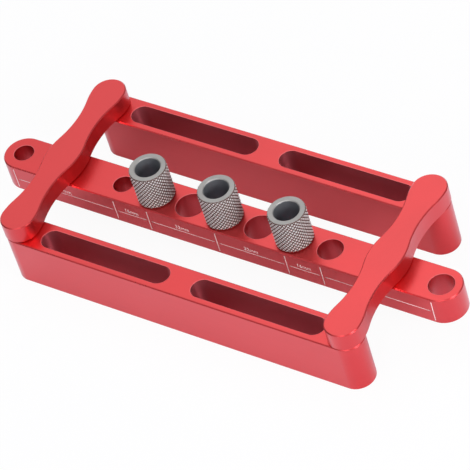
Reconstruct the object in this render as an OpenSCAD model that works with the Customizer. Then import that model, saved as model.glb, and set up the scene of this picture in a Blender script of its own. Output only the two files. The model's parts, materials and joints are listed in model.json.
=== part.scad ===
// Self centring dowelling jig: three parallel bars joined by two swing arms.
// The arms and bars form a parallelogram linkage. When the arms swing, both side bars
// close on the centre bar by the same amount, so its guide bores stay over the middle
// of whatever the side bars grip.
// The bars lie along X and their tops share one plane. The origin is under the middle
// of the centre bar, at the level of the undersides of the side bars.

/* [Linkage] */
// Distance between the pivots of the two swing arms
pivot_pitch = 149.1; // [146:0.1:165]
// Distance from an arm's middle pivot to each of its end pivots
arm_throw = 34.85; // [31:0.05:42]
// How far the arms stand turned from square, in degrees
swing_angle = 3.25; // [-40:0.25:40]

/* [Centre bar] */
// Length over the rounded ends
centre_bar_len = 210; // [204:0.5:240]
// Width
centre_bar_w = 16.6; // [15.8:0.1:20]
// Thickness
centre_bar_t = 12.5; // [10.5:0.1:16]
// Distance between neighbouring guide bores
bore_pitch = 16; // [15.6:0.1:17.5]
// Diameter of the bores that take the guide bushes
guide_bore_d = 12; // [11.7:0.05:12.4]
// Diameter of the plain holes in the left half
small_hole_d = 8.1; // [5:0.1:9]
// Diameter of the plain holes in the right half
large_hole_d = 10.1; // [8:0.1:11]

/* [Side bars] */
// Width
side_bar_w = 13.8; // [13:0.1:17]
// Height
side_bar_h = 22.2; // [20:0.1:28]
// Length of a pocket over its round ends
pocket_len = 59.2; // [40:0.1:60]
// Width of a pocket
pocket_w = 8.8; // [5:0.1:9.5]
// Solid length between the two pockets of a bar
pocket_web = 11.1; // [6:0.1:13]
// Solid height left under a pocket
pocket_floor = 5.8; // [2.5:0.1:12]

/* [Swing arms] */
// Thickness
arm_t = 7.9; // [7:0.1:12]
// Width at the three pivots
arm_head_w = 14.2; // [13.4:0.1:16]
// Width at the two waists
arm_waist_w = 9.6; // [8.4:0.1:12]
// Radius of the outward curves beside each pivot
arm_swell_r = 26; // [18:0.5:30]

/* [Guide bushes] */
// Diameter of the head
bush_head_d = 15.1; // [13.8:0.05:15.4]
// Height of the head above the bar
bush_head_h = 15.3; // [8:0.1:25]
// Diameter of the drill bore
bush_bore_d = 10.1; // [4:0.1:10.4]

/* [Pivot screws] */
// Diameter of the plain shoulder that a bar turns on
shoulder_d = 6; // [5.4:0.1:6.6]
// Diameter of the thread in the arm
thread_d = 5; // [3.5:0.1:5.2]
// Length of the thread
thread_len = 5.2; // [3.5:0.1:5.8]
// Diameter of the head
screw_head_d = 10; // [8.5:0.1:10.8]
// Height of the head
screw_head_h = 4.2; // [3:0.1:4.8]
// Width of the hexagon socket across its flats
socket_w = 3; // [2:0.1:5]

/* [Washers] */
// Outside diameter
washer_d = 11; // [8.5:0.1:12]
// Thickness
washer_t = 0.5; // [0.4:0.05:1]
// How far a washer stands out of its recess
washer_proud = 0.15; // [0.1:0.05:0.3]

/* [Edges and clearances] */
// Chamfer along the edges of the bars and arms
edge_chamfer = 0.4; // [0.2:0.05:0.6]
// Chamfer round the holes and pockets
rim_chamfer = 0.25; // [0.1:0.05:0.4]
// Chamfer of the bush heads
bush_chamfer = 0.35; // [0.2:0.05:0.8]
// Radial clearance of a bush in its guide bore
bush_clearance = 0.05; // [0.02:0.01:0.09]
// Radial clearance of a bar on a screw's shoulder
pivot_clearance = 0.05; // [0.02:0.01:0.09]
// Radial gap round a screw's head, thread and washer
loose_gap = 0.15; // [0.1:0.01:0.2]
// End play of a screw's head under its bar
end_play = 0.05; // [0.03:0.01:0.1]
// How far a screw's head and a bush's shank stay inside the underside
sink = 0.6; // [0.2:0.1:1]

/* [Hidden] */
$fn = 96;

left = -1;
right = 1;
front = -1;
rear = 1;

// Overrun of every cut past the face that it opens
over = 1;

// Number of flats that stand for each curve of an arm's outline, an even number
curve_steps = 12;

// Half the angle of the flat that lies across each tip of an arm
tip_angle = 90 / (2 * curve_steps + 1);

// Levels
bar_top = side_bar_h;
centre_bar_under = bar_top - centre_bar_t;
arm_under = bar_top + washer_proud;
arm_top = arm_under + arm_t;

// Places of the pivots
swing_x = -arm_throw * sin(swing_angle);
swing_y = arm_throw * cos(swing_angle);
side_bar_len = pivot_pitch + side_bar_w;
end_hole_x = (centre_bar_len - centre_bar_w) / 2;

// The seat that a pivot screw and its washer need in a bar
seat_depth = screw_head_h + sink;
bore_r = shoulder_d / 2 + pivot_clearance;
seat_r = screw_head_d / 2 + loose_gap;
recess_r = washer_d / 2 + loose_gap;
recess_depth = washer_t - washer_proud;

// The arm's side: an outward curve beside each pivot and a hollow one at each waist,
// tangent to each other on the line between their centres
waist_drop = (arm_head_w - arm_waist_w) / 2;
waist_y = arm_throw / 2;
curve_sum = (waist_y * waist_y + waist_drop * waist_drop) / (2 * waist_drop);
waist_r = curve_sum - arm_swell_r;
swell_x = arm_head_w / 2 - arm_swell_r;
waist_x = arm_waist_w / 2 + waist_r;
turn = asin(waist_y / curve_sum);

// A round solid turned from a half profile of [radius, height] points
module turned(profile) {
    rotate_extrude() polygon(profile);
}

// A disc with both rims chamfered
module disc(r, t, chamfer) {
    turned([[0, 0], [r - chamfer, 0], [r, chamfer], [r, t - chamfer], [r - chamfer, t], [0, t]]);
}

// A straight run along X with the section given as [y, z] points
module run(len, section) {
    translate([-len / 2, 0, 0]) rotate([90, 0, 90]) linear_extrude(len) polygon(section);
}

// A bar with half round ends and chamfered edges, standing on z = 0
module rounded_bar(len, w, t) {
    c = edge_chamfer;
    straight = len - w;
    for (side = [left, right]) translate([side * straight / 2, 0, 0]) disc(w / 2, t, c);
    run(straight, [
        [c - w / 2, 0], [w / 2 - c, 0], [w / 2, c], [w / 2, t - c],
        [w / 2 - c, t], [c - w / 2, t], [-w / 2, t - c], [-w / 2, c]
    ]);
}

// The cut of a hole through a plate of thickness t, with a chamfer at both rims
module through_hole(r, t) {
    wide = r + rim_chamfer + over;
    turned([
        [0, -over], [wide, -over], [r, rim_chamfer],
        [r, t - rim_chamfer], [wide, t + over], [0, t + over]
    ]);
}

// The cut of a pocket with half round ends, open at z = 0 and going down
module pocket(len, w, depth) {
    r = w / 2;
    wide = r + rim_chamfer + over;
    straight = len - w;
    for (side = [left, right]) translate([side * straight / 2, 0, 0])
        turned([[0, -depth], [r, -depth], [r, -rim_chamfer], [wide, over], [0, over]]);
    run(straight, [
        [-r, -depth], [r, -depth], [r, -rim_chamfer], [wide, over], [-wide, over], [-r, -rim_chamfer]
    ]);
}

// The cut of a pivot in a bar of thickness t: a seat for the screw's head below,
// a running bore, and a recess for the washer on top
module pivot_seat(t) {
    turned([
        [0, -over], [seat_r, -over], [seat_r, seat_depth], [bore_r, seat_depth],
        [bore_r, t - recess_depth], [recess_r, t - recess_depth],
        [recess_r, t + over], [0, t + over]
    ]);
}

module centre_bar() {
    t = centre_bar_t;
    color("indianred") translate([0, 0, centre_bar_under]) difference() {
        rounded_bar(centre_bar_len, centre_bar_w, t);
        for (n = [-2:2]) translate([n * bore_pitch, 0, 0]) through_hole(guide_bore_d / 2, t);
        for (x = [3 * bore_pitch, end_hole_x]) {
            translate([left * x, 0, 0]) through_hole(small_hole_d / 2, t);
            translate([right * x, 0, 0]) through_hole(large_hole_d / 2, t);
        }
        for (side = [left, right]) translate([side * pivot_pitch / 2, 0, 0]) pivot_seat(t);
    }
}

module side_bar() {
    pocket_x = (pocket_web + pocket_len) / 2;
    difference() {
        rounded_bar(side_bar_len, side_bar_w, side_bar_h);
        for (side = [left, right]) {
            translate([side * pocket_x, 0, side_bar_h])
                pocket(pocket_len, pocket_w, side_bar_h - pocket_floor);
            translate([side * pivot_pitch / 2, 0, 0]) pivot_seat(side_bar_h);
        }
    }
}

module front_side_bar() {
    color("indianred") translate([front * swing_x, front * swing_y, 0]) side_bar();
}

module rear_side_bar() {
    color("indianred") translate([rear * swing_x, rear * swing_y, 0]) side_bar();
}

// Points along an arc, without its last one, which starts the next arc
function arc(centre, r, from, to, steps) = [
    for (i = [0:steps - 1]) let (a = from + (to - from) * i / steps) centre + r * [cos(a), sin(a)]
];

// The right side of an arm that lies along Y, from tip to tip, drawn in by the inset
function arm_side(inset) = let (
    end_r = arm_head_w / 2 - inset, swell_r = arm_swell_r - inset, hollow_r = waist_r + inset
) concat(
    arc([0, -arm_throw], end_r, tip_angle - 90, 0, curve_steps),
    arc([swell_x, -arm_throw], swell_r, 0, turn, curve_steps / 2),
    arc([waist_x, -waist_y], hollow_r, 180 + turn, 180 - turn, curve_steps),
    arc([swell_x, 0], swell_r, -turn, turn, curve_steps),
    arc([waist_x, waist_y], hollow_r, 180 + turn, 180 - turn, curve_steps),
    arc([swell_x, arm_throw], swell_r, -turn, 0, curve_steps / 2),
    arc([0, arm_throw], end_r, 0, 90 + tip_angle, curve_steps + 1)
);

// The whole outline at one height: the right side, then its mirror image back again
function arm_ring(inset, z) = let (side = arm_side(inset), last = len(side) - 1) concat(
    [for (p = side) [p.x, p.y, z]],
    [for (i = [last:-1:0]) [-side[i].x, side[i].y, z]]
);

// The arm's blank: four rings of the outline, drawn in at the chamfers. The flat faces
// are strips that join each point to its mirror image.
module arm_blank() {
    c = edge_chamfer;
    rings = [arm_ring(c, 0), arm_ring(0, c), arm_ring(0, arm_t - c), arm_ring(c, arm_t)];
    n = len(rings[0]);
    top = (len(rings) - 1) * n;
    walls = [
        for (k = [0:len(rings) - 2], i = [0:n - 1]) let (j = (i + 1) % n)
            [k * n + i, (k + 1) * n + i, (k + 1) * n + j, k * n + j]
    ];
    under_strips = [for (i = [0:n / 2 - 2]) [i, i + 1, n - 2 - i, n - 1 - i]];
    top_strips = [for (strip = under_strips) [for (i = [3:-1:0]) top + strip[i]]];
    polyhedron(
        points = [for (ring = rings, p = ring) p],
        faces = concat(under_strips, top_strips, walls)
    );
}

module swing_arm() {
    hole_r = thread_d / 2 + loose_gap;
    hole_depth = thread_len + sink;
    translate([0, 0, arm_under]) rotate(swing_angle) difference() {
        arm_blank();
        for (row = [front, 0, rear]) translate([0, row * arm_throw, -over])
            cylinder(h = hole_depth + over, r = hole_r);
    }
}

module left_swing_arm() {
    color("crimson") translate([left * pivot_pitch / 2, 0, 0]) swing_arm();
}

module right_swing_arm() {
    color("crimson") translate([right * pivot_pitch / 2, 0, 0]) swing_arm();
}

// A guide bush in the bore number n of the centre bar, counted from its middle
module bush(n) {
    shank_r = guide_bore_d / 2 - bush_clearance;
    bore_r = bush_bore_d / 2;
    head_r = bush_head_d / 2;
    c = bush_chamfer;
    color("darkgray") translate([n * bore_pitch, 0, bar_top]) turned([
        [bore_r, sink - centre_bar_t], [shank_r - rim_chamfer, sink - centre_bar_t],
        [shank_r, sink - centre_bar_t + rim_chamfer], [shank_r, 0],
        [head_r - rim_chamfer, 0], [head_r, rim_chamfer], [head_r, bush_head_h - c],
        [head_r - c, bush_head_h], [bore_r + c, bush_head_h], [bore_r, bush_head_h - c]
    ]);
}

module left_bush() { bush(-2); }
module middle_bush() { bush(0); }
module right_bush() { bush(2); }

// A pivot screw of one arm and one bar: head in the seat, plain shoulder in the bore,
// thread in the arm. The bar's underside is at the height given.
module pivot_screw(side, row, under) {
    head_under = under + sink;
    head_top = head_under + screw_head_h - end_play;
    c = rim_chamfer;
    neck = thread_d / 2 - c;
    color("dimgray") translate([side * pivot_pitch / 2 + row * swing_x, row * swing_y, 0]) difference() {
        turned([
            [0, head_under], [screw_head_d / 2 - c, head_under], [screw_head_d / 2, head_under + c],
            [screw_head_d / 2, head_top], [shoulder_d / 2, head_top], [shoulder_d / 2, arm_under],
            [neck, arm_under], [neck, arm_under + 2 * c], [thread_d / 2, arm_under + 3 * c],
            [thread_d / 2, arm_under + thread_len - c], [neck, arm_under + thread_len],
            [0, arm_under + thread_len]
        ]);
        translate([0, 0, head_under - over])
            cylinder(h = screw_head_h / 2 + over, r = socket_w / sqrt(3), $fn = 6);
    }
}

module left_front_screw() { pivot_screw(left, front, 0); }
module left_centre_screw() { pivot_screw(left, 0, centre_bar_under); }
module left_rear_screw() { pivot_screw(left, rear, 0); }
module right_front_screw() { pivot_screw(right, front, 0); }
module right_centre_screw() { pivot_screw(right, 0, centre_bar_under); }
module right_rear_screw() { pivot_screw(right, rear, 0); }

// A washer in the recess over a pivot
module washer(side, row) {
    inner = shoulder_d / 2 + loose_gap;
    color("whitesmoke") translate([side * pivot_pitch / 2 + row * swing_x, row * swing_y, arm_under - washer_t])
        turned([[inner, 0], [washer_d / 2, 0], [washer_d / 2, washer_t], [inner, washer_t]]);
}

module left_front_washer() { washer(left, front); }
module left_centre_washer() { washer(left, 0); }
module left_rear_washer() { washer(left, rear); }
module right_front_washer() { washer(right, front); }
module right_centre_washer() { washer(right, 0); }
module right_rear_washer() { washer(right, rear); }

centre_bar();
front_side_bar();
rear_side_bar();
left_swing_arm();
right_swing_arm();
left_bush();
middle_bush();
right_bush();
left_front_screw();
left_centre_screw();
left_rear_screw();
right_front_screw();
right_centre_screw();
right_rear_screw();
left_front_washer();
left_centre_washer();
left_rear_washer();
right_front_washer();
right_centre_washer();
right_rear_washer();
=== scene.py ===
import json
import math

import bmesh
import bpy
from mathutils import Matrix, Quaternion, Vector


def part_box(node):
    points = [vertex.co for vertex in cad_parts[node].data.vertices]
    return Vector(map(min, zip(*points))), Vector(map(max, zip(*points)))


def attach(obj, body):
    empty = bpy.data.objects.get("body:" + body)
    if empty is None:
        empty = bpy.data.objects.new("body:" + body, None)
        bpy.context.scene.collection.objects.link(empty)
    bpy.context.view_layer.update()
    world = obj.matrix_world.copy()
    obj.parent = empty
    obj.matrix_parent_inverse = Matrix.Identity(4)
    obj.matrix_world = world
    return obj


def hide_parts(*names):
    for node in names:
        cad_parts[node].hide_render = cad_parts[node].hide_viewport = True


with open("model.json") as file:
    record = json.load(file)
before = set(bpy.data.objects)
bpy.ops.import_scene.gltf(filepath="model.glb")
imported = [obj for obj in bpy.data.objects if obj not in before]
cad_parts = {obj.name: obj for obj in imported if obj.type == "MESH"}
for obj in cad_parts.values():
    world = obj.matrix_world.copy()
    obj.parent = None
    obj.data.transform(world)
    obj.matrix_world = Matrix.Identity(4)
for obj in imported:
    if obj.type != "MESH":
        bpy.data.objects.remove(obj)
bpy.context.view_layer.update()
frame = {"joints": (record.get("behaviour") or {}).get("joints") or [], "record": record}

# The camera stands far off at the front right, well above the jig, and is tilted
# sideways. It looks at a point between the bars, at the level of their tops.
MM = 0.001
bars_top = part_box("centre_bar")[1].z
aim = Vector((9.12 * MM, -6.95 * MM, bars_top))
camera_distance = 1324.07 * MM
azimuth = math.radians(45.898)
elevation = math.radians(44.727)
sideways_tilt = math.radians(18.349)
photo_px = 470
focal_px = 3509.44

towards_camera = Vector((
    math.sin(azimuth) * math.cos(elevation),
    -math.cos(azimuth) * math.cos(elevation),
    math.sin(elevation),
))
camera = bpy.data.objects.new("camera", bpy.data.cameras.new("camera"))
camera.data.lens = focal_px / photo_px * camera.data.sensor_width
camera.location = aim + towards_camera * camera_distance
camera.rotation_mode = "QUATERNION"
upright = (-towards_camera).to_track_quat("-Z", "Y")
camera.rotation_quaternion = upright @ Quaternion((0, 0, 1), -sideways_tilt)
bpy.context.scene.collection.objects.link(camera)
bpy.context.scene.camera = camera
bpy.context.scene.view_settings.view_transform = "Standard"


# The jig stands on a plain white table in a room with a white ceiling, which is dimmer
# towards the right and the rear, greyer walls and four soft lamps. The table glows for the
# camera, so the ground is white, but it still takes a shadow.
class Value:
    """A socket of a finish's node, on which sums are written as on a number."""

    def __init__(self, finish, socket):
        self.finish = finish
        self.socket = socket

    def sum(self, operation, first, second):
        """Adds the Math node that works out this sum."""
        return self.finish.node("ShaderNodeMath", {"operation": operation}, {0: first, 1: second})

    def __add__(self, other):
        return self.sum("ADD", self, other)

    def __mul__(self, other):
        return self.sum("MULTIPLY", self, other)

    def __rsub__(self, other):
        return self.sum("SUBTRACT", other, self)

    __radd__ = __add__
    __rmul__ = __mul__


class Finish:
    """The nodes of a material or of the room, which are all added by one method."""

    def __init__(self, owner):
        owner.use_nodes = True
        self.owner = owner
        self.tree = owner.node_tree

    def fill(self, node, values):
        """Sets the node's inputs to these numbers and colours, or links them to sockets."""
        for name, value in values.items():
            if isinstance(value, Value):
                self.tree.links.new(value.socket, node.inputs[name])
            else:
                node.inputs[name].default_value = value

    def node(self, kind, settings, values, output=0):
        """Adds a node with these settings and inputs, and gives one of its outputs."""
        node = self.tree.nodes.new(kind)
        for name, setting in settings.items():
            setattr(node, name, setting)
        self.fill(node, values)
        return Value(self, node.outputs[output])

    def ray(self, kind):
        """1 for rays of this kind, and 0 for the others."""
        return self.node("ShaderNodeLightPath", {}, {}, output=f"Is {kind} Ray")


# The walls end, and the ceiling begins, at these heights of a direction, which go from 0
# at the horizon to 1 overhead. The dimmer part begins and ends by how far to the right
# and the rear a direction points.
WHITE = (1, 1, 1, 1)
wall_light = 0.15
ceiling_light = 1.06
wall_top = 0.42
ceiling_edge = 0.70
right_rear = (0.9, 0.4, 0)
right_rear_light = 0.38
right_rear_start = 0.05
right_rear_edge = 0.4
wall_glow_in_metal = 0.1
table_size = 6
table_white = (0.88, 0.87, 0.97, 1)
table_glow = 0.94
table_glow_in_metal = 0.04

room = Finish(bpy.data.worlds.new("white room"))
bpy.context.scene.world = room.owner
direction = room.node("ShaderNodeTexCoord", {}, {}, output="Generated")
height = room.node("ShaderNodeSeparateXYZ", {}, {"Vector": direction}, output="Z")
nearness = room.node(
    "ShaderNodeVectorMath", {"operation": "DOT_PRODUCT"},
    {0: direction, 1: right_rear}, output="Value")
ceiling = room.node("ShaderNodeMapRange", {"interpolation_type": "SMOOTHSTEP"}, {
    "Value": height, "From Min": wall_top, "From Max": ceiling_edge,
    "To Min": wall_light, "To Max": ceiling_light,
})
light = room.node("ShaderNodeMapRange", {"interpolation_type": "SMOOTHSTEP"}, {
    "Value": nearness, "From Min": right_rear_start, "From Max": right_rear_edge,
    "To Min": ceiling, "To Max": right_rear_light,
})
seen = room.ray("Camera") + wall_glow_in_metal * room.ray("Glossy") + room.ray("Transmission")
room.fill(room.tree.nodes["Background"], {
    "Color": WHITE,
    "Strength": light + (1 - light) * seen,
})

bpy.ops.object.select_all(action="DESELECT")
bpy.ops.mesh.primitive_plane_add(size=table_size)
table = bpy.context.object
table.name = "table"
white = Finish(bpy.data.materials.new("white table"))
table.data.materials.append(white.owner)
lit = white.node("ShaderNodeBsdfDiffuse", {}, {"Color": table_white})
glow = white.node("ShaderNodeEmission", {}, {"Color": WHITE, "Strength": 1})
share = table_glow * (white.ray("Camera") + white.ray("Transmission"))
share = share + table_glow_in_metal * white.ray("Glossy")
white.fill(white.tree.nodes["Material Output"], {
    "Surface": white.node("ShaderNodeMixShader", {}, {0: share, 1: lit, 2: glow}),
})

for name, place, size, power in (
    ("high_lamp", (-0.35, 0.75, 1.1), 0.7, 1),
    ("side_lamp", (1.1, -0.15, 0.4), 0.5, 8),
    ("front_lamp", (0.45, -1.05, 0.45), 0.4, 4.7),
    ("small_lamp", (1.0, -0.2, 0.85), 0.3, 0.35),
):
    lamp = bpy.data.objects.new(name, bpy.data.lights.new(name, "AREA"))
    lamp.data.size = size
    lamp.data.energy = power
    lamp.location = place
    lamp.rotation_mode = "QUATERNION"
    lamp.rotation_quaternion = (aim - Vector(place)).to_track_quat("-Z", "Y")
    bpy.context.scene.collection.objects.link(lamp)


# Centre bar: a flat bar of aluminium with round ends, bead blasted and anodised red. Its
# bores are reamed through it, all its edges are broken, and each pivot has a seat for a
# screw's head below and a shallow recess for a washer on top.
HAIR = 0.001 * MM
ROUND_STEPS = 96
overrun = 1 * MM
corner_angle = math.radians(60)
smooth_angle = math.radians(38)
edge_chamfer = 0.4 * MM
rim_round = 0.25 * MM
screw_head_height = 4.2 * MM
loose_gap = 0.15 * MM
pivot_bore_radius = 3.05 * MM
bar_red = (0.77, 0.025, 0.030)
# The walls of bores, holes, seats and recesses are painted a darker red than the faces, as shade
# inside them.
bore_shade_red = (0.68, 0.036, 0.048)
edge_red = (0.80, 0.045, 0.053)
# The rounded rims are painted a paler red than the faces, as a highlight along them.
rim_highlight_red = (0.82, 0.13, 0.145)
deeper_red = 0.88
skin_ior = 1.55
bump_depth = 0.02 * MM
along_bar = (0.02, 1, 1)
up_wall = (1, 1, 0.03)
round_bore = (0.05, 0.05, 1)


def noise(place, scale, detail):
    """Random clouds on a surface, about this many to the metre."""
    return place.finish.node(
        "ShaderNodeTexNoise", {}, {"Vector": place, "Scale": scale, "Detail": detail})


def two_tone(share, first, second):
    """The first colour where the share is 0, and the second where it is 1. On a Mix node,
    inputs 6 and 7 and output 2 are colours."""
    return share.finish.node(
        "ShaderNodeMix", {"data_type": "RGBA"},
        {0: share, 6: (*first, 1), 7: (*second, 1)}, output=2)


def bumps(height, strength):
    """Fine bumps of this height, for a finish's normal."""
    return height.finish.node(
        "ShaderNodeBump", {}, {"Height": height, "Strength": strength, "Distance": bump_depth})


def anodised(name, red, roughness, stretch):
    """The dyed metal in this red, under its clear sealed skin, with the grain of the blast
    and faint marks of the tool, which are drawn out along the axis of the small stretch."""
    finish = Finish(bpy.data.materials.new(name))
    place = finish.node("ShaderNodeTexCoord", {}, {}, output="Object")
    stretched = finish.node("ShaderNodeMapping", {}, {"Vector": place, "Scale": stretch})
    clouds = noise(place, scale=45, detail=3)
    grain = noise(place, scale=5000, detail=2)
    marks = noise(stretched, scale=1500, detail=3)
    deep = [part * deeper_red for part in red]
    finish.fill(finish.tree.nodes["Principled BSDF"], {
        "Base Color": two_tone(0.3 * clouds + 0.2 * grain + 0.3 * marks, red, deep),
        "Metallic": 1,
        "Roughness": 0.1 * clouds + 0.08 * marks + roughness,
        "Normal": bumps(0.5 * grain + marks, strength=0.2),
        "Coat Weight": 1,
        "Coat IOR": skin_ior,
        "Coat Roughness": roughness,
    })
    return finish.owner


anodised_bar = anodised("anodised bar", bar_red, roughness=0.29, stretch=along_bar)
anodised_edge = anodised("anodised edge", edge_red, roughness=0.2, stretch=up_wall)
# Painted highlight: the paler red of the rims stands in for the light along them.
anodised_rim_highlight = anodised("anodised rim", rim_highlight_red, roughness=0.3, stretch=round_bore)
# Painted shade: the darker red of the bores stands in for the shade inside them.
anodised_bore_shaded = anodised("anodised bore", bore_shade_red, roughness=0.3, stretch=round_bore)


def activate(piece):
    """Makes this piece the only one selected, and the active one."""
    bpy.ops.object.select_all(action="DESELECT")
    piece.select_set(True)
    bpy.context.view_layer.objects.active = piece


def edit(piece):
    """Opens the piece for editing, with all of it selected."""
    activate(piece)
    bpy.ops.object.mode_set(mode="EDIT")
    bpy.ops.mesh.select_all(action="SELECT")


def close():
    """Ends the editing of the open piece."""
    bpy.ops.object.mode_set(mode="OBJECT")


def pick(piece, kind, test):
    """Selects only those vertices, edges or faces of the open piece that pass the test."""
    bpy.ops.mesh.select_mode(type=kind)
    bpy.ops.mesh.select_all(action="DESELECT")
    mesh = bmesh.from_edit_mesh(piece.data)
    for part in {"VERT": mesh.verts, "EDGE": mesh.edges, "FACE": mesh.faces}[kind]:
        part.select_set(test(part))
    bmesh.update_edit_mesh(piece.data)


def lies_at(edge, level):
    """Whether an edge lies at this level."""
    return all(abs(vert.co.z - level) < HAIR for vert in edge.verts)


def apply(piece, kind, **settings):
    """Adds a modifier with these settings to the piece and applies it."""
    modifier = piece.modifiers.new(kind.lower(), kind)
    for name, setting in settings.items():
        setattr(modifier, name, setting)
    activate(piece)
    bpy.ops.object.modifier_apply(modifier=modifier.name)


def cut(piece, cutter, wall):
    """Cuts the cutter's shape out of the piece, which leaves walls of this material, and
    throws the cutter away."""
    cutter.data.materials.append(wall)
    apply(piece, "BOOLEAN", operation="DIFFERENCE", solver="EXACT", object=cutter,
          material_mode="TRANSFER")
    bpy.data.objects.remove(cutter)


def seal():
    """Merges the open piece's doubles, closes its rims, turns its faces outwards and ends
    its editing."""
    bpy.ops.mesh.select_all(action="SELECT")
    bpy.ops.mesh.remove_doubles(threshold=HAIR)
    bpy.ops.mesh.fill_holes(sides=0)
    bpy.ops.mesh.select_all(action="SELECT")
    bpy.ops.mesh.normals_make_consistent(inside=False)
    close()


def move(piece, place, rotation=(0, 0, 0)):
    """Turns the piece and moves it to its place, both in its mesh."""
    piece.location = place
    piece.rotation_euler = rotation
    activate(piece)
    bpy.ops.object.transform_apply(location=True, rotation=True, scale=True)


def draw_on(profile):
    """Draws the selected ring on from the profile's first (radius, height) to its last."""
    radius, height = profile[0]
    for next_radius, next_height in profile[1:]:
        rise = (0, 0, next_height - height)
        bpy.ops.mesh.extrude_edges_move(TRANSFORM_OT_translate={"value": rise})
        size = next_radius / radius
        bpy.ops.transform.resize(value=(size, size, 1), center_override=(0, 0, 0))
        radius, height = next_radius, next_height


def turned(name, profile, steps=ROUND_STEPS):
    """A round solid about Z with this profile, like one from a lathe."""
    radius, height = profile[0]
    bpy.ops.object.select_all(action="DESELECT")
    bpy.ops.mesh.primitive_circle_add(vertices=steps, radius=radius, location=(0, 0, height))
    piece = bpy.context.object
    piece.name = name
    move(piece, piece.location)
    edit(piece)
    draw_on(profile)
    seal()
    return piece


def round_ended(name, length, width, height):
    """A block with half round ends: half an open tube is drawn out to the middle of the
    block, mirrored there, and closed above and below."""
    straight = (length - width) / 2
    bpy.ops.object.select_all(action="DESELECT")
    bpy.ops.mesh.primitive_cylinder_add(
        vertices=ROUND_STEPS, radius=width / 2, depth=height, end_fill_type="NOTHING")
    piece = bpy.context.object
    piece.name = name
    edit(piece)
    bpy.ops.mesh.bisect(plane_co=(0, 0, 0), plane_no=(1, 0, 0), clear_inner=True)
    bpy.ops.mesh.select_all(action="SELECT")
    bpy.ops.transform.translate(value=(straight, 0, 0))
    pick(piece, "EDGE", lambda edge: all(
        abs(vert.co.x - straight) < HAIR for vert in edge.verts))
    bpy.ops.mesh.extrude_edges_move(TRANSFORM_OT_translate={"value": (-straight, 0, 0)})
    close()
    apply(piece, "MIRROR", use_axis=(True, False, False), merge_threshold=HAIR)
    edit(piece)
    seal()
    return piece


def anodise(piece, face):
    """Gives the piece its dyed face and edge materials and its rim material, whose paler red is a
    painted highlight, and breaks its outer edges.
    """
    for material in (face, anodised_edge, anodised_rim_highlight):
        piece.data.materials.append(material)
    apply(piece, "BEVEL", width=edge_chamfer, segments=1, limit_method="ANGLE",
          angle_limit=corner_angle, material=1, use_clamp_overlap=False)


def round_rims(piece, *levels):
    """Rounds the square rims of holes and pockets that open at these levels, and gives the rounds
    the paler rim red, a painted highlight along them.
    """
    edit(piece)
    pick(piece, "EDGE", lambda edge: (
        edge.is_convex and edge.calc_face_angle(0) > corner_angle
        and any(lies_at(edge, level) for level in levels)))
    bpy.ops.mesh.bevel(offset=rim_round, segments=2, material=2)
    close()


def axis_of(low, high):
    """Where the axis of a round part between these corners meets the table."""
    return (low.x + high.x) / 2, (low.y + high.y) / 2, 0


def cut_seat(piece, screw, low, high):
    """Cuts a pivot's running bore, and the seat below for the head of its screw."""
    screw_low, screw_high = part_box(screw)
    radius = (screw_high.x - screw_low.x) / 2 + loose_gap
    step = screw_low.z + screw_head_height
    seat = turned("seat cutter", [
        (radius, low - overrun), (radius, step),
        (pivot_bore_radius, step), (pivot_bore_radius, high + overrun)])
    move(seat, axis_of(screw_low, screw_high))
    cut(piece, seat, anodised_bore_shaded)


def cut_recess(piece, washer, high):
    """Cuts the shallow recess for a pivot's washer."""
    washer_low, washer_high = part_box(washer)
    radius = (washer_high.x - washer_low.x) / 2 + loose_gap
    recess = turned("recess cutter", [(radius, washer_low.z), (radius, high + overrun)])
    move(recess, axis_of(washer_low, washer_high))
    cut(piece, recess, anodised_bore_shaded)


def hand_over(piece, body, node):
    """Shades the piece smooth between its corners, fixes it to its body, and hides the CAD part
    that it stands for.
    """
    activate(piece)
    bpy.ops.object.shade_smooth_by_angle(angle=smooth_angle)
    apply(piece, "WEIGHTED_NORMAL", keep_sharp=True)
    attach(piece, body)
    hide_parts(node)


mounts = {mount["name"]: mount for mount in frame["record"]["mounts"]}


def along(mount):
    """How far along the centre bar a mount of the record is."""
    return mounts[mount]["pos_m"][0]


def mount_radius(mount):
    """The radius of the bore or hole that a mount of the record stands for."""
    return mounts[mount]["dims"]["r_mm"] * MM


guide_radius = mount_radius("left_guide_bore")
bores = [(along(f"{side}_bush_bore"), guide_radius) for side in ("left", "middle", "right")]
bores += [(along(name), mount_radius(name)) for name in (
    "left_guide_bore", "right_guide_bore", "left_inner_hole", "right_inner_hole",
    "left_lug_hole", "right_lug_hole")]

bar_low, bar_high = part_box("centre_bar")
centre_bar = round_ended("drilled_centre_bar", *(bar_high - bar_low))
move(centre_bar, (bar_low + bar_high) / 2)
anodise(centre_bar, anodised_bar)
for x, radius in bores:
    bore = turned("bore cutter", [
        (radius, bar_low.z - overrun), (radius, bar_high.z + overrun)])
    move(bore, (x, 0, 0))
    cut(centre_bar, bore, anodised_bore_shaded)
for side in ("left", "right"):
    cut_seat(centre_bar, f"{side}_centre_screw", bar_low.z, bar_high.z)
round_rims(centre_bar, bar_low.z, bar_high.z)
for side in ("left", "right"):
    cut_recess(centre_bar, f"{side}_centre_washer", bar_high.z)
hand_over(centre_bar, "centre", "centre_bar")


# Scale: fine lines burnt through the dye on the front of the centre bar, down to the pale
# metal. A tick stands under each bush and hole, and an arrow and a number between two
# ticks give their distance in millimetres.
tick_top = 1.4 * MM
tick_low = 11.1 * MM
arrow_level = 6.43 * MM
number_level = 5.5 * MM
number_size = 2.6 * MM
number_curve_steps = 4
stroke_gain = 0.015 * MM
tick_width = 0.34 * MM
line_width = 0.28 * MM
arrow_gap = 1.0 * MM
arrow_length = 1.1 * MM
arrow_width = 0.6 * MM
proud = 0.012 * MM
burnt_pale = (1.0, 0.93, 0.92)
burnt_pink = (0.95, 0.78, 0.77)

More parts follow.
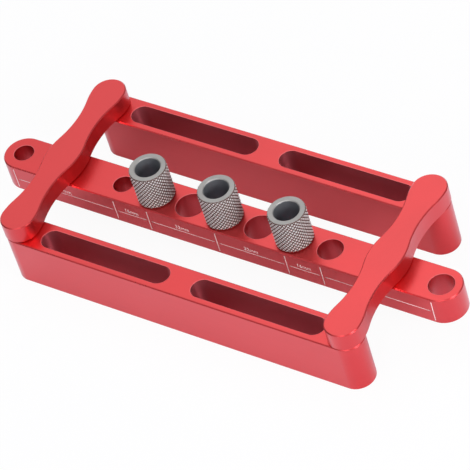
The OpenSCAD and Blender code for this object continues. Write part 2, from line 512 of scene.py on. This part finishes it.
burnt = Finish(bpy.data.materials.new("burnt marks"))
place = burnt.node("ShaderNodeTexCoord", {}, {}, output="Object")
speckle = noise(place, scale=3000, detail=2)
burnt.fill(burnt.tree.nodes["Principled BSDF"], {
    "Base Color": two_tone(speckle, burnt_pale, burnt_pink),
    "Roughness": 0.2 * speckle + 0.45,
})


def add_mark(left, right, low, high):
    """One straight mark, drawn flat, between these distances along and below the bar's top."""
    bpy.ops.object.select_all(action="DESELECT")
    bpy.ops.mesh.primitive_plane_add(size=1)
    mark = bpy.context.object
    mark.scale = (right - left, high - low, 1)
    move(mark, ((left + right) / 2, (low + high) / 2, 0))
    return mark


def add_triangle(width, height, fill):
    """A triangle that points along Y, with its tip at the origin. A round of three corners
    and radius 1 is as wide as the root of 3, and 1.5 high."""
    bpy.ops.object.select_all(action="DESELECT")
    bpy.ops.mesh.primitive_circle_add(vertices=3, radius=1, fill_type=fill)
    triangle = bpy.context.object
    edit(triangle)
    bpy.ops.transform.translate(value=(0, -1, 0))
    close()
    triangle.scale = (width / math.sqrt(3), height / 1.5, 1)
    return triangle


def add_arrowhead(tip, direction):
    """A flat arrowhead with its tip at this place along the bar."""
    head = add_triangle(arrow_width, arrow_length, fill="NGON")
    move(head, (tip, -arrow_level, 0), (0, 0, -direction * math.pi / 2))
    return head


def add_number(left, right):
    """The distance between two ticks, written over the arrow between them."""
    bpy.ops.object.select_all(action="DESELECT")
    bpy.ops.object.text_add(location=((left + right) / 2, -number_level, 0))
    number = bpy.context.object
    number.data.body = f"{(right - left) / MM:.0f}mm"
    number.data.align_x = "CENTER"
    number.data.size = number_size
    number.data.offset = stroke_gain
    number.data.resolution_u = number_curve_steps
    bpy.ops.object.convert(target="MESH")
    move(number, number.location)
    return number


ticks = sorted(along(name) for name in (
    "left_lug_hole", "left_inner_hole", "left_bush_bore", "middle_bush_bore",
    "right_bush_bore", "right_inner_hole", "right_lug_hole"))
marks = [
    add_mark(x - tick_width / 2, x + tick_width / 2, -tick_low, -tick_top) for x in ticks]
for left, right in zip(ticks, ticks[1:]):
    marks += [
        add_mark(
            left + arrow_gap + arrow_length / 2, right - arrow_gap - arrow_length / 2,
            -arrow_level - line_width / 2, -arrow_level + line_width / 2),
        add_arrowhead(left + arrow_gap, -1),
        add_arrowhead(right - arrow_gap, 1),
        add_number(left, right),
    ]

bpy.ops.object.select_all(action="DESELECT")
for mark in marks:
    mark.select_set(True)
bpy.context.view_layer.objects.active = marks[0]
bpy.ops.object.join()
scale_marks = bpy.context.object
scale_marks.name = "scale_marks"
scale_marks.data.materials.clear()
scale_marks.data.materials.append(burnt.owner)
apply(scale_marks, "SOLIDIFY", thickness=2 * proud, offset=0)
move(scale_marks, (0, bar_low.y, bar_high.z), (math.pi / 2, 0, 0))
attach(scale_marks, "centre")


# Side bars: two deep bars of the same aluminium, which grip the board. Each has two long
# pockets milled into its top to lighten it, with a solid web between them.
pocket_length = 59.2 * MM
pocket_width = 8.8 * MM
pocket_web = 11.1 * MM
pocket_floor = 5.8 * MM
# The pocket walls are painted a duller, greyer red than the faces, as the dim light inside the
# pockets.
pocket_shade_red = (0.67, 0.20, 0.24)
anodised_pocket_shaded = anodised("anodised pocket", pocket_shade_red, roughness=0.36, stretch=up_wall)

for row in ("front", "rear"):
    low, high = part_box(f"{row}_side_bar")
    middle = (low + high) / 2
    side_bar = round_ended(f"pocketed_{row}_bar", *(high - low))
    move(side_bar, middle)
    anodise(side_bar, anodised_bar)
    cutter_top = high.z + overrun
    for way in (-1, 1):
        pocket = round_ended(
            "pocket cutter", pocket_length, pocket_width, cutter_top - pocket_floor)
        move(pocket, (
            middle.x + way * (pocket_web + pocket_length) / 2, middle.y,
            (pocket_floor + cutter_top) / 2))
        cut(side_bar, pocket, anodised_pocket_shaded)
    for side in ("left", "right"):
        cut_seat(side_bar, f"{side}_{row}_screw", low.z, high.z)
    round_rims(side_bar, low.z, high.z)
    for side in ("left", "right"):
        cut_recess(side_bar, f"{side}_{row}_washer", high.z)
    hand_over(side_bar, f"{row}_bar", f"{row}_side_bar")


# Washers: six thin white rings of slippery plastic, pressed flat from sheet. Each lies in
# its recess over a pivot and stands out just enough to keep the arm off the bar.
washer_hole_radius = 3.15 * MM
washer_round = 0.08 * MM
plastic_white = (0.86, 0.86, 0.84)
plastic_shade = (0.78, 0.77, 0.74)

plastic = Finish(bpy.data.materials.new("white plastic"))
place = plastic.node("ShaderNodeTexCoord", {}, {}, output="Object")
clouds = noise(place, scale=400, detail=3)
plastic.fill(plastic.tree.nodes["Principled BSDF"], {
    "Base Color": two_tone(clouds, plastic_white, plastic_shade),
    "Roughness": 0.15 * clouds + 0.4,
    "Normal": bumps(clouds, strength=0.1),
})


def copy_of(piece, name):
    """A copy of the piece under its own name, with its own mesh."""
    copy = piece.copy()
    copy.data = piece.data.copy()
    copy.name = name
    bpy.context.scene.collection.objects.link(copy)
    return copy


washer_low, washer_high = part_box("left_centre_washer")
washer_radius = (washer_high.x - washer_low.x) / 2
washer = turned("washer", [
    (washer_hole_radius, washer_low.z), (washer_radius, washer_low.z),
    (washer_radius, washer_high.z), (washer_hole_radius, washer_high.z),
    (washer_hole_radius, washer_low.z)])
washer.data.materials.append(plastic.owner)
apply(washer, "BEVEL", width=washer_round, segments=2, limit_method="ANGLE",
      angle_limit=corner_angle)
for row, body in (("front", "front_bar"), ("centre", "centre"), ("rear", "rear_bar")):
    for side in ("left", "right"):
        low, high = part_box(f"{side}_{row}_washer")
        copy = copy_of(washer, f"pressed_{side}_{row}_washer")
        move(copy, axis_of(low, high))
        hand_over(copy, body, f"{side}_{row}_washer")
bpy.data.objects.remove(washer)


# Swing arms: two flat arms of the same aluminium, milled to a waisted outline, which lie
# on the three bars and carry them on their pivots. Their tops are plain: the pivot screws
# come from below into blind tapped holes.
head_width = 14.2 * MM
waist_width = 9.6 * MM
swell_radius = 26 * MM
tapped_radius = 2.65 * MM
tapped_depth = 5.8 * MM
curve_steps = 16
arm_red = (0.77, 0.030, 0.035)

joints = {joint["name"]: joint for joint in frame["joints"]}
arm_pivot = Vector(joints["left_arm_swing"]["pos_m"])
to_front_pivot = Vector(joints["front_bar_pivot"]["pos_m"]) - arm_pivot
throw = to_front_pivot.to_2d().length
swing = math.atan2(to_front_pivot.x, -to_front_pivot.y)
arm_low, arm_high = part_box("left_swing_arm")
thickness = arm_high.z - arm_low.z

# An arm's side goes in one line of arcs from an end pivot to the middle one: out of the
# round head in a swell, in and out again at the waist, and into the middle swell. The
# radii of a swell and of the waist add up to curve_sum.
waist_drop = (head_width - waist_width) / 2
curve_sum = (throw ** 2 / 4 + waist_drop ** 2) / (2 * waist_drop)
swell_x = head_width / 2 - swell_radius
waist_x = waist_width / 2 + curve_sum - swell_radius
turn = math.asin(throw / 2 / curve_sum)

bpy.ops.object.select_all(action="DESELECT")
bpy.ops.mesh.primitive_cylinder_add(
    vertices=ROUND_STEPS, radius=head_width / 2, depth=thickness, end_fill_type="NOTHING")
arm = bpy.context.object
edit(arm)
for direction in ((1, 0, 0), (0, 1, 0)):
    bpy.ops.mesh.bisect(plane_co=(0, 0, 0), plane_no=direction, clear_inner=True)
    bpy.ops.mesh.select_all(action="SELECT")
bpy.ops.transform.translate(value=(0, throw, 0))
pick(arm, "EDGE", lambda edge: all(abs(vert.co.y - throw) < HAIR for vert in edge.verts))
for x, y, angle in (
    (swell_x, throw, turn), (waist_x, throw / 2, -2 * turn), (swell_x, 0, turn),
):
    bpy.ops.mesh.spin(steps=curve_steps, angle=angle, center=(x, y, 0), axis=(0, 0, 1))
close()
apply(arm, "MIRROR", use_axis=(True, True, False), merge_threshold=HAIR)
edit(arm)
seal()
anodise(arm, anodised("anodised arm", arm_red, roughness=0.3, stretch=up_wall))
under = -thickness / 2
for y in (-throw, 0, throw):
    tapped = turned("tapped hole cutter", [
        (tapped_radius, under - overrun), (tapped_radius, under + tapped_depth)])
    move(tapped, (0, y, 0))
    cut(arm, tapped, anodised_bore_shaded)
round_rims(arm, under)

for side in ("left", "right"):
    copy = copy_of(arm, f"waisted_{side}_arm")
    pivot = joints[f"{side}_arm_swing"]["pos_m"]
    move(copy, (pivot[0], pivot[1], (arm_low.z + arm_high.z) / 2), (0, 0, swing))
    hand_over(copy, f"{side}_arm", f"{side}_swing_arm")
bpy.data.objects.remove(arm)


# Pivot screws: six black steel shoulder screws with a hexagon socket, one at each crossing
# of an arm and a bar. They come up from below: a bar turns on the plain shoulder, and the
# thread holds the arm.
shoulder_radius = 3 * MM
thread_radius = 2.5 * MM
thread_length = 5.2 * MM
thread_pitch = 0.8 * MM
thread_depth = 0.35 * MM
ridge_width = 0.88 * thread_pitch
key_size = 3 * MM
key_sides = 6
socket_radius = key_size / math.sqrt(3)
socket_depth = 2.1 * MM
head_play = 0.05 * MM
screw_round = 0.25 * MM
thread_steps = 32
oxide_grey = (0.060, 0.060, 0.066)
oxide_black = (0.020, 0.020, 0.023)

black = Finish(bpy.data.materials.new("black oxide"))
place = black.node("ShaderNodeTexCoord", {}, {}, output="Object")
clouds = noise(place, scale=500, detail=4)
black.fill(black.tree.nodes["Principled BSDF"], {
    "Base Color": two_tone(clouds, oxide_grey, oxide_black),
    "Metallic": 0.9,
    "Roughness": 0.25 * clouds + 0.25,
    "Normal": bumps(clouds, strength=0.1),
})


def pivot_screw(node):
    """A screw with its head at the node's lowest level and its thread's end at the highest."""
    low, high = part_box(node)
    radius = (high.x - low.x) / 2
    head_top = low.z + screw_head_height - head_play
    thread_low = high.z - thread_length
    core = thread_radius - thread_depth
    screw = turned("pivot screw", [
        (radius - screw_round, low.z), (radius, low.z + screw_round),
        (radius, head_top - screw_round / 2), (radius - screw_round / 2, head_top),
        (shoulder_radius, head_top), (shoulder_radius, thread_low - screw_round / 2),
        (shoulder_radius - screw_round / 2, thread_low), (core, thread_low),
        (core, high.z - screw_round), (core - screw_round, high.z)])
    screw.data.materials.append(black.owner)
    socket_floor = low.z + socket_depth
    cut(screw, turned("socket cutter", [
        (socket_radius, low.z - overrun), (socket_radius, socket_floor),
        (socket_radius / 4, socket_floor + socket_radius / 2)], steps=key_sides), black.owner)
    cut(screw, turned("lead in cutter", [
        (socket_radius + screw_round + overrun, low.z - overrun),
        (socket_radius - screw_round, low.z + 2 * screw_round)]), black.owner)

    ridge = add_triangle(ridge_width, thread_depth + screw_round, fill="NOTHING")
    ridge.data.materials.append(black.owner)
    move(ridge, (thread_radius, 0, thread_low + thread_pitch), (math.pi / 2, math.pi / 2, 0))
    ridge_end = high.z - 3 * screw_round
    turns = int((ridge_end - thread_low) / thread_pitch) - 1
    apply(ridge, "SCREW", axis="Z", screw_offset=thread_pitch, iterations=turns,
          steps=thread_steps, render_steps=thread_steps)
    edit(ridge)
    seal()
    apply(screw, "BOOLEAN", operation="UNION", solver="EXACT", object=ridge)
    bpy.data.objects.remove(ridge)
    return screw


for row, model in (("centre", "centre"), ("front", "front"), ("rear", "front")):
    screw = pivot_screw(f"left_{model}_screw")
    for side in ("left", "right"):
        low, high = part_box(f"{side}_{row}_screw")
        copy = copy_of(screw, f"{side}_{row}_shoulder_screw")
        move(copy, axis_of(low, high))
        hand_over(copy, f"{side}_arm", f"{side}_{row}_screw")
    bpy.data.objects.remove(screw)


# Guide bushes: three turned steel sleeves, bead blasted to a dull grey. A diamond knurl
# is rolled round each head for the fingers, and a plain shank drops into a bore of the
# centre bar.
knurl_columns = 30
knurl_rows = 9
knurl_depth = 0.33 * MM
knurl_rim = 0.25 * MM
flank_width = 0.20 * MM
flank_height = 0.24 * MM
crest_width = 0.11 * MM
crest_height = 0.07 * MM
crest_point = 0.02 * MM
shank_gap = 0.05 * MM
bush_chamfer = 0.35 * MM
ring_cuts = 3
blasted_grey = (0.46, 0.45, 0.44)
# The knurl's crests are painted pale as a highlight, and its grooves dark brown as shade.
crest_highlight_grey = (0.71, 0.73, 0.73)
groove_shade_brown = (0.13, 0.07, 0.06)
bore_grey = (0.42, 0.44, 0.48)
deeper_grey = 0.7

bush_low, bush_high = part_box("middle_bush")
head_radius = (bush_high.x - bush_low.x) / 2
head_top = bush_high.z
shank_under = bush_low.z
bush_bore_radius = mount_radius("middle_bush_bore")
groove_radius = head_radius - knurl_depth
shank_radius = guide_radius - shank_gap
knurl_low = bars_top + knurl_rim
knurl_high = head_top - knurl_rim / 2
row_height = (knurl_high - knurl_low) / knurl_rows


def bush_steel(name, grey, roughness, metallic):
    """Dull steel of this grey, a little patchy, with the fine pits of the blast."""
    finish = Finish(bpy.data.materials.new(name))
    place = finish.node("ShaderNodeTexCoord", {}, {}, output="Object")
    clouds = noise(place, scale=250, detail=3)
    grain = noise(place, scale=6000, detail=2)
    deep = [part * deeper_grey for part in grey]
    finish.fill(finish.tree.nodes["Principled BSDF"], {
        "Normal": bumps(grain, strength=0.2),
        "Base Color": two_tone(0.6 * clouds + 0.3 * grain, grey, deep),
        "Metallic": metallic,
        "Roughness": roughness + 0.12 * clouds,
    })
    return finish.owner


blasted = bush_steel("blasted steel", blasted_grey, roughness=0.42, metallic=0.7)
# Painted highlight on the knurl's crests, and painted shade in its grooves.
crest = bush_steel("knurl crest", crest_highlight_grey, roughness=0.28, metallic=0.15)
groove = bush_steel("knurl groove", groove_shade_brown, roughness=0.50, metallic=0.1)
bore_steel = bush_steel("bore steel", bore_grey, roughness=0.32, metallic=0.8)


def reach(vert):
    """How far a vertex is from the bush's axis."""
    return vert.co.to_2d().length


def is_corner(vert):
    """Whether a vertex is a corner of the first grid, and not the middle of a square."""
    return reach(vert) > groove_radius - HAIR


def furthest(face):
    """How far the furthest corner of a face is from the bush's axis."""
    return max(reach(vert) for vert in face.verts)


def paint(piece, material):
    """Gives the selected faces of the open piece this one of its materials."""
    piece.active_material_index = list(piece.data.materials).index(material)
    bpy.ops.object.material_slot_assign()


bpy.ops.object.select_all(action="DESELECT")
bpy.ops.mesh.primitive_circle_add(vertices=knurl_columns, radius=groove_radius)
bush = bpy.context.object
for material in (blasted, groove, crest, bore_steel):
    bush.data.materials.append(material)
edit(bush)
bpy.ops.transform.translate(value=(0, 0, knurl_low))
draw_on([(groove_radius, knurl_low + row * row_height) for row in range(knurl_rows + 1)])
bpy.ops.mesh.select_all(action="SELECT")
bpy.ops.mesh.normals_make_consistent(inside=False)

# The knurl: each square of the grid is split at its middle, the old edges go, and the diamonds
# that are left are raised to blunt points. Their flanks are painted dark brown as shade in the
# grooves, and their raised tops pale as a highlight on the crests.
bpy.ops.mesh.poke()
pick(bush, "EDGE", lambda edge: (
    not edge.is_boundary and all(is_corner(vert) for vert in edge.verts)))
bpy.ops.mesh.dissolve_edges(use_verts=False)
pick(bush, "VERT", lambda vert: not is_corner(vert))
outwards = 1 / math.cos(math.pi / knurl_columns)
bpy.ops.transform.resize(value=(outwards, outwards, 1), center_override=(0, 0, 0))
bpy.ops.mesh.select_mode(type="FACE")
bpy.ops.mesh.select_all(action="SELECT")
paint(bush, groove)
bpy.ops.mesh.inset(thickness=flank_width, depth=flank_height, use_individual=True)
paint(bush, crest)
bpy.ops.mesh.inset(thickness=crest_width, depth=crest_height, use_individual=True)
bpy.ops.mesh.poke(offset=crest_point)

# The rest: both rims of the knurl are made round, and the upper one is drawn on over the
# top, down the bore, and back up outside to the lower one.
pick(bush, "EDGE", lambda edge: edge.is_boundary)
bpy.ops.mesh.subdivide(number_cuts=ring_cuts)
for level in (knurl_low, knurl_high):
    pick(bush, "VERT", lambda vert: vert.is_boundary and abs(vert.co.z - level) < HAIR)
    bpy.ops.transform.tosphere(value=1)
pick(bush, "EDGE", lambda edge: edge.is_boundary and lies_at(edge, knurl_high))
draw_on([
    (groove_radius, knurl_high),
    (head_radius - bush_chamfer, head_top),
    (bush_bore_radius + bush_chamfer, head_top),
    (bush_bore_radius, head_top - bush_chamfer),
    (bush_bore_radius, shank_under + rim_round),
    (bush_bore_radius + rim_round, shank_under),
    (shank_radius - rim_round, shank_under),
    (shank_radius, shank_under + rim_round),
    (shank_radius, bars_top),
    (groove_radius - rim_round, bars_top),
    (groove_radius, knurl_low),
])
seal()
edit(bush)
pick(bush, "FACE", lambda face: furthest(face) < bush_bore_radius + HAIR)
paint(bush, bore_steel)
pick(bush, "FACE", lambda face: (
    len(face.verts) == 4
    and bush_bore_radius + HAIR < furthest(face) < groove_radius + HAIR))
paint(bush, blasted)
close()

for side, body in (
    ("left", "bush_on_the_left"), ("middle", "bush_in_the_middle"), ("right", "bush_on_the_right"),
):
    copy = copy_of(bush, f"knurled_{side}_bush")
    move(copy, (along(f"{side}_bush_bore"), 0, 0))
    hand_over(copy, body, f"{side}_bush")
bpy.data.objects.remove(bush)
